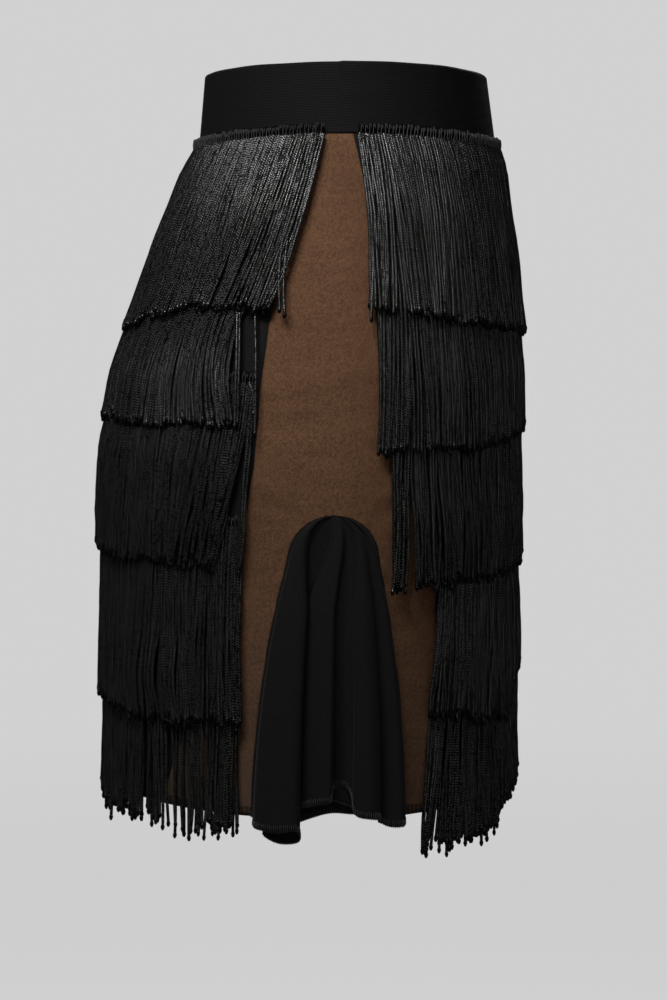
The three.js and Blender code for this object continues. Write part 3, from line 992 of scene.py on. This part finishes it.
def ring_heights(number, top, tip):
    end = tip + KNOT[-1, 0]
    z = top[:, None] + (end - top)[:, None] * body_steps(number)
    z = np.concatenate([z, end[:, None] - KNOT[None, 1:, 0]], 1)
    return z, np.clip((top[:, None] - z) / (top - end)[:, None], 0, 1.05)


def cord_lean(tier, share, t, length, rng):
    """How far the cords lean sideways at the partings and the slits."""
    lean = np.zeros_like(t)
    for centre, left, right, start, width in tier.own(PARTINGS):
        for middle, below, above in ((centre, left, right), (1 - centre, right, left)):
            away = (share - middle) * length
            push = np.where(away < 0, -below, above) * np.exp(-np.abs(away) / width)
            lean += push[:, None] * np.clip((t - start) / (1 - start), 0, 1.1) ** 1.3
    for centre, level, wide in rng.uniform((0, 0.35, 0.5), (1, 1.0, 1.1), (SLITS, 3)):
        away = (share - centre) * length
        push = wide * np.sign(away) * np.exp(-np.abs(away) / SLIT_WIDTH)
        lean += push[:, None] * hump(t - level, SLIT_LENGTH)
    return lean


def cord_puff(tier, share, z, t, turn, rng):
    """How far the cords swell out in soft waves, and where the first tier leaves the elastic."""
    puff = waves(rng, (5, 11, 19), (0.5, 0.35, 0.25))(share)[:, None]
    puff = puff * np.sin(math.pi * np.clip(t, 0, 1))
    if tier.number == 0:
        puff = puff + 1.3 * hump(tier.tape - 15 - z, 10)
        puff = puff + 2.2 * hump(tier.tape - 38 - z, 20) * np.cos(turn) ** 2
    return puff


def cord_bulge(tier, share, z, length):
    tall = 14
    bulge = np.zeros_like(z)
    for centre, level, high, wide in tier.own(BULGES):
        for middle in (centre, 1 - centre):
            near = hump((share - middle) * length, wide)[:, None]
            bulge += high * near * hump(z - level, tall)
    return bulge


def cord_paths(tier, seed):
    """The paths, outward directions, radii and turns of the cords in half a tier."""
    rng = np.random.default_rng(seed)
    number = tier.number
    length = tier.length(tier.reach(0.5))
    share, layer = cord_shares(tier, rng)
    count = len(share)
    drift = cord_drift(tier, share, layer, length, rng)
    z, t = cord_heights(tier, share, rng)
    lean = cord_lean(tier, share, t, length, rng)
    wobble = rng.uniform(0, 2 * math.pi, (count, 1))
    sway = rng.uniform(0.1, SWAY[number], (count, 1))
    sway = sway * np.sin(wobble + t * rng.uniform(5, 16, (count, 1)))
    ends = np.clip(1 - np.minimum(share, 1 - share) * length / SPILL_WIDTH, 0, 1)
    spill = SPILL * (np.where(share < 0.5, -1, 1) * ends)[:, None]
    place = share[:, None] + (drift * t.T ** 1.2).T + (spill + sway * t + lean) / length
    turn = tier.turn(place, z)

    settle = np.clip((tier.tape - z) / SETTLE[number], 0, 1)
    puff = cord_puff(tier, share, z, t, turn, rng)
    out = tier.proud(z) + (layer[:, None] * LAYER + rng.normal(0, 0.22, (count, 1))) * settle
    out = out + puff * settle
    wave = np.sin(2 * wobble + t * rng.uniform(6, 15, (count, 1)))
    out = out + 0.5 * SWAY[number] * wave * settle
    out = out + np.clip(t - 0.85, 0, 1) * rng.uniform(-2.0, 1.5, (count, 1))
    out = out + cord_bulge(tier, share, z, length)
    paths = figure(turn, z, out)
    normals = figure(turn, z, out + 1) - paths
    radius = CORD_RADIUS * rng.uniform(0.93, 1.07, (count, 1))
    spin = rng.uniform(0, 2 * math.pi, count)
    return paths, normals, radius * cord_shape(number), spin


def stray_paths(tier, seed):
    """Cords that hang apart from the others, on both sides of the skirt."""
    rng = np.random.default_rng(seed)
    sign = -1 if tier.half == "front" else 1
    bend = 1 if tier.number == 0 else 3.5
    rows = []
    for share, away, tip in tier.own(STRAYS):
        for mirror in (False, True):
            top, lowest = np.array([tier.tape - CORD_TOP]), np.array([tip])
            z, t = (rings[0] for rings in ring_heights(tier.number, top, lowest))
            start = tier.turn(share, z)
            finish = turn_behind(z, sign * away)
            turn = start + (finish - start) * (1 - np.clip(1 - t, 0, 1) ** bend)
            if mirror:
                turn = -sign * math.pi - turn
            out = tier.proud(z) + LAYER * 1.2 + 0.2 * rng.random()
            path = figure(turn, z, out)
            rows.append((path, figure(turn, z, out + 1) - path))
    if not rows:
        return None
    paths, normals = (np.array([row[k] for row in rows]) for k in range(2))
    radii = np.tile(CORD_RADIUS * cord_shape(tier.number), (len(rows), 1))
    return paths, normals, radii, rng.uniform(0, 2 * math.pi, len(rows))


def tape_part(tier):
    """The heading tape: a flat band with rounded edges."""
    high, low, inner, outer = TAPE["half"], -TAPE["half"], TAPE["inner"], TAPE["outer"]
    section = [(high, inner), (high, outer - 0.5), (high - 0.7, outer), (0.8, outer + 0.1),
               (low + 0.7, outer), (low, outer - 0.5), (low, inner)]
    share = np.linspace(0, 1, 120)
    rng = np.random.default_rng(TAPE_SEED + tier.number)
    uneven = waves(rng, (5, 11, 23), (0.25, 0.2, 0.15))(share)
    rings = []
    for up, out in section:
        z = tier.tape + up + uneven
        rings.append(figure(tier.turn(share, z), z, out + tier.first))
    points = np.array(rings)
    rows, columns = points.shape[:2]
    i, j = np.meshgrid(np.arange(rows), np.arange(columns - 1), indexing="ij")
    below = (i + 1) % rows
    quads = np.stack([i * columns + j, below * columns + j, below * columns + j + 1,
                      i * columns + j + 1], -1).reshape(-1, 4)
    uv = grid_uv(points).reshape(-1, 2)[quads.ravel()].reshape(-1, 4, 2)
    caps = np.stack([np.arange(rows)[::-1] * columns, np.arange(rows) * columns + columns - 1])
    return points.reshape(-1, 3), quads, uv, caps, np.zeros((2, rows, 2))


def heading_stitches(tier, seed):
    """The threads that wrap the heading tape's upper edge."""
    rng = np.random.default_rng(seed)
    count = int(tier.length(tier.tape) / HEADING_STEP)
    share = (np.arange(count) + 0.5 + rng.uniform(-0.18, 0.18, count)) / count
    z = tier.tape - 2.4 + rng.uniform(-0.5, 0.5, count)
    turn = tier.turn(share, z)
    face = TAPE["outer"] + tier.first
    base = figure(turn, z, face)
    out = unit(figure(turn, z, face + 1) - base)
    up = np.tile([0.0, 0.0, 1.0], (count, 1))
    along = unit(np.cross(up, out))
    profile = [(0, -0.6, 0), (0.05, 1.4, 0.4), (0.15, 3.6, 0.5), (0.4, 5.3, 0.2),
               (0.85, 5.6, -0.6), (1.2, 4.6, 0.2), (1.05, 3.2, 0.4)]
    return ladder(base, up, along, out, profile, HEADING_RADIUS, rng)


def fringe(number, half):
    tier = HalfTier(number, half)
    seed = FRINGE_SEED + 10 * number + (0 if half == "front" else 5)
    kinds = [paths for paths in (cord_paths(tier, seed), stray_paths(tier, seed + 1)) if paths]
    paths, normals, radii, spin = (np.concatenate(both) for both in zip(*kinds))
    plain = len(body_steps(number)) + 1
    parts = [
        (*tubes(paths, normals, radii, CORD_SIDES, spin, plain), 0),
        (*tape_part(tier), 1),
        (*heading_stitches(tier, seed + 2), 2),
    ]
    piece = join_parts(f"cord_fringe_{half}_{number + 1}", parts, [CORD, TAPE_CLOTH, THREAD])
    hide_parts(f"fringe_{half}_{number + 1}")
    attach(piece, "root")
    return piece


band = waistband()
panels = {half: panel(half) for half in ("front", "back")}
sides = {side: side_panel(side) for side in ("right", "left")}
godets = {side: godet(side) for side in ("right", "left")}
fringes = {half: [fringe(number, half) for number in range(len(TIERS))]
           for half in ("front", "back")}


# Floor, background and light


def floor_material():
    """A pale surface that glows a little for the camera alone and fades out far from the middle."""
    n = Nodes("pale floor")
    far = n.tree.nodes.new("ShaderNodeVectorMath")
    far.operation = "LENGTH"
    n.link(n.place(), far.inputs[0])
    fade = n.line(far.outputs["Value"], 0.5, -1.0, clamp=True)
    clear = n.tree.nodes.new("ShaderNodeBsdfTransparent")
    mix = n.tree.nodes.new("ShaderNodeMixShader")
    n.finish((0.22, 0.22, 0.22), 0.9, 0.2)
    glow = n.tree.nodes.new("ShaderNodeEmission")
    glow.inputs[0].default_value = (0.57, 0.57, 0.57, 1)
    seen = n.tree.nodes.new("ShaderNodeLightPath")
    n.link(seen.outputs["Is Camera Ray"], glow.inputs[1])
    both = n.tree.nodes.new("ShaderNodeAddShader")
    n.link(n.shader.outputs[0], both.inputs[0])
    n.link(glow.outputs[0], both.inputs[1])
    n.link(fade, mix.inputs[0])
    n.link(both.outputs[0], mix.inputs[1])
    n.link(clear.outputs[0], mix.inputs[2])
    n.link(mix.outputs[0], n.tree.nodes["Material Output"].inputs["Surface"])
    return n.material


def make_floor():
    height, rings, spokes = -1.0, 24, 96
    hole, first, last = 0.0003, 0.3, 6
    radius = np.concatenate([[hole], np.linspace(first, last, rings)])
    angle = np.linspace(0, 2 * math.pi, spokes, endpoint=False)
    points = np.stack([radius[:, None] * np.cos(angle), radius[:, None] * np.sin(angle),
                       np.full((len(radius), spokes), height)], -1)
    faces = grid_faces(len(radius), spokes, ring=True)
    uv = np.zeros((len(faces) * 4, 2))
    floor = build_mesh("floor", points.reshape(-1, 3), [faces[:, ::-1]], uv, [floor_material()])


def make_world():
    """A pale background that lights the object less than it shows."""
    world = bpy.context.scene.world = bpy.data.worlds.new("world")
    world.use_nodes = True
    tree = world.node_tree
    shown, light = tree.nodes["Background"], tree.nodes.new("ShaderNodeBackground")
    path, mix = tree.nodes.new("ShaderNodeLightPath"), tree.nodes.new("ShaderNodeMixShader")
    shown.inputs[0].default_value = (0.64, 0.64, 0.645, 1)
    light.inputs[0].default_value = (1, 1, 1, 1)
    light.inputs[1].default_value = 0.05
    tree.links.new(path.outputs["Is Camera Ray"], mix.inputs[0])
    tree.links.new(light.outputs[0], mix.inputs[1])
    tree.links.new(shown.outputs[0], mix.inputs[2])
    tree.links.new(mix.outputs[0], tree.nodes["World Output"].inputs[0])


def area_light(name, place, aim, size, power):
    data = bpy.data.lights.new(name, "AREA")
    data.shape = "RECTANGLE"
    data.size, data.size_y = size
    data.energy = power
    lamp = bpy.data.objects.new(name, data)
    lamp.location = place
    lamp.rotation_euler = (Vector(aim) - Vector(place)).to_track_quat("-Z", "Y").to_euler()
    bpy.context.scene.collection.objects.link(lamp)


make_floor()
make_world()
area_light("key", (-0.9, 0.38, 0.94), (-0.1, 0.02, -0.15), (0.7, 0.2), 18.5)
area_light("soft", (-1.9, -0.6, 0.15), (0, 0, -0.2), (1.2, 1.0), 3.2)
area_light("far side", (1.0, -0.1, 0.8), (0.1, 0, -0.15), (0.8, 0.45), 14)

bpy.context.scene.view_settings.view_transform = "Standard"
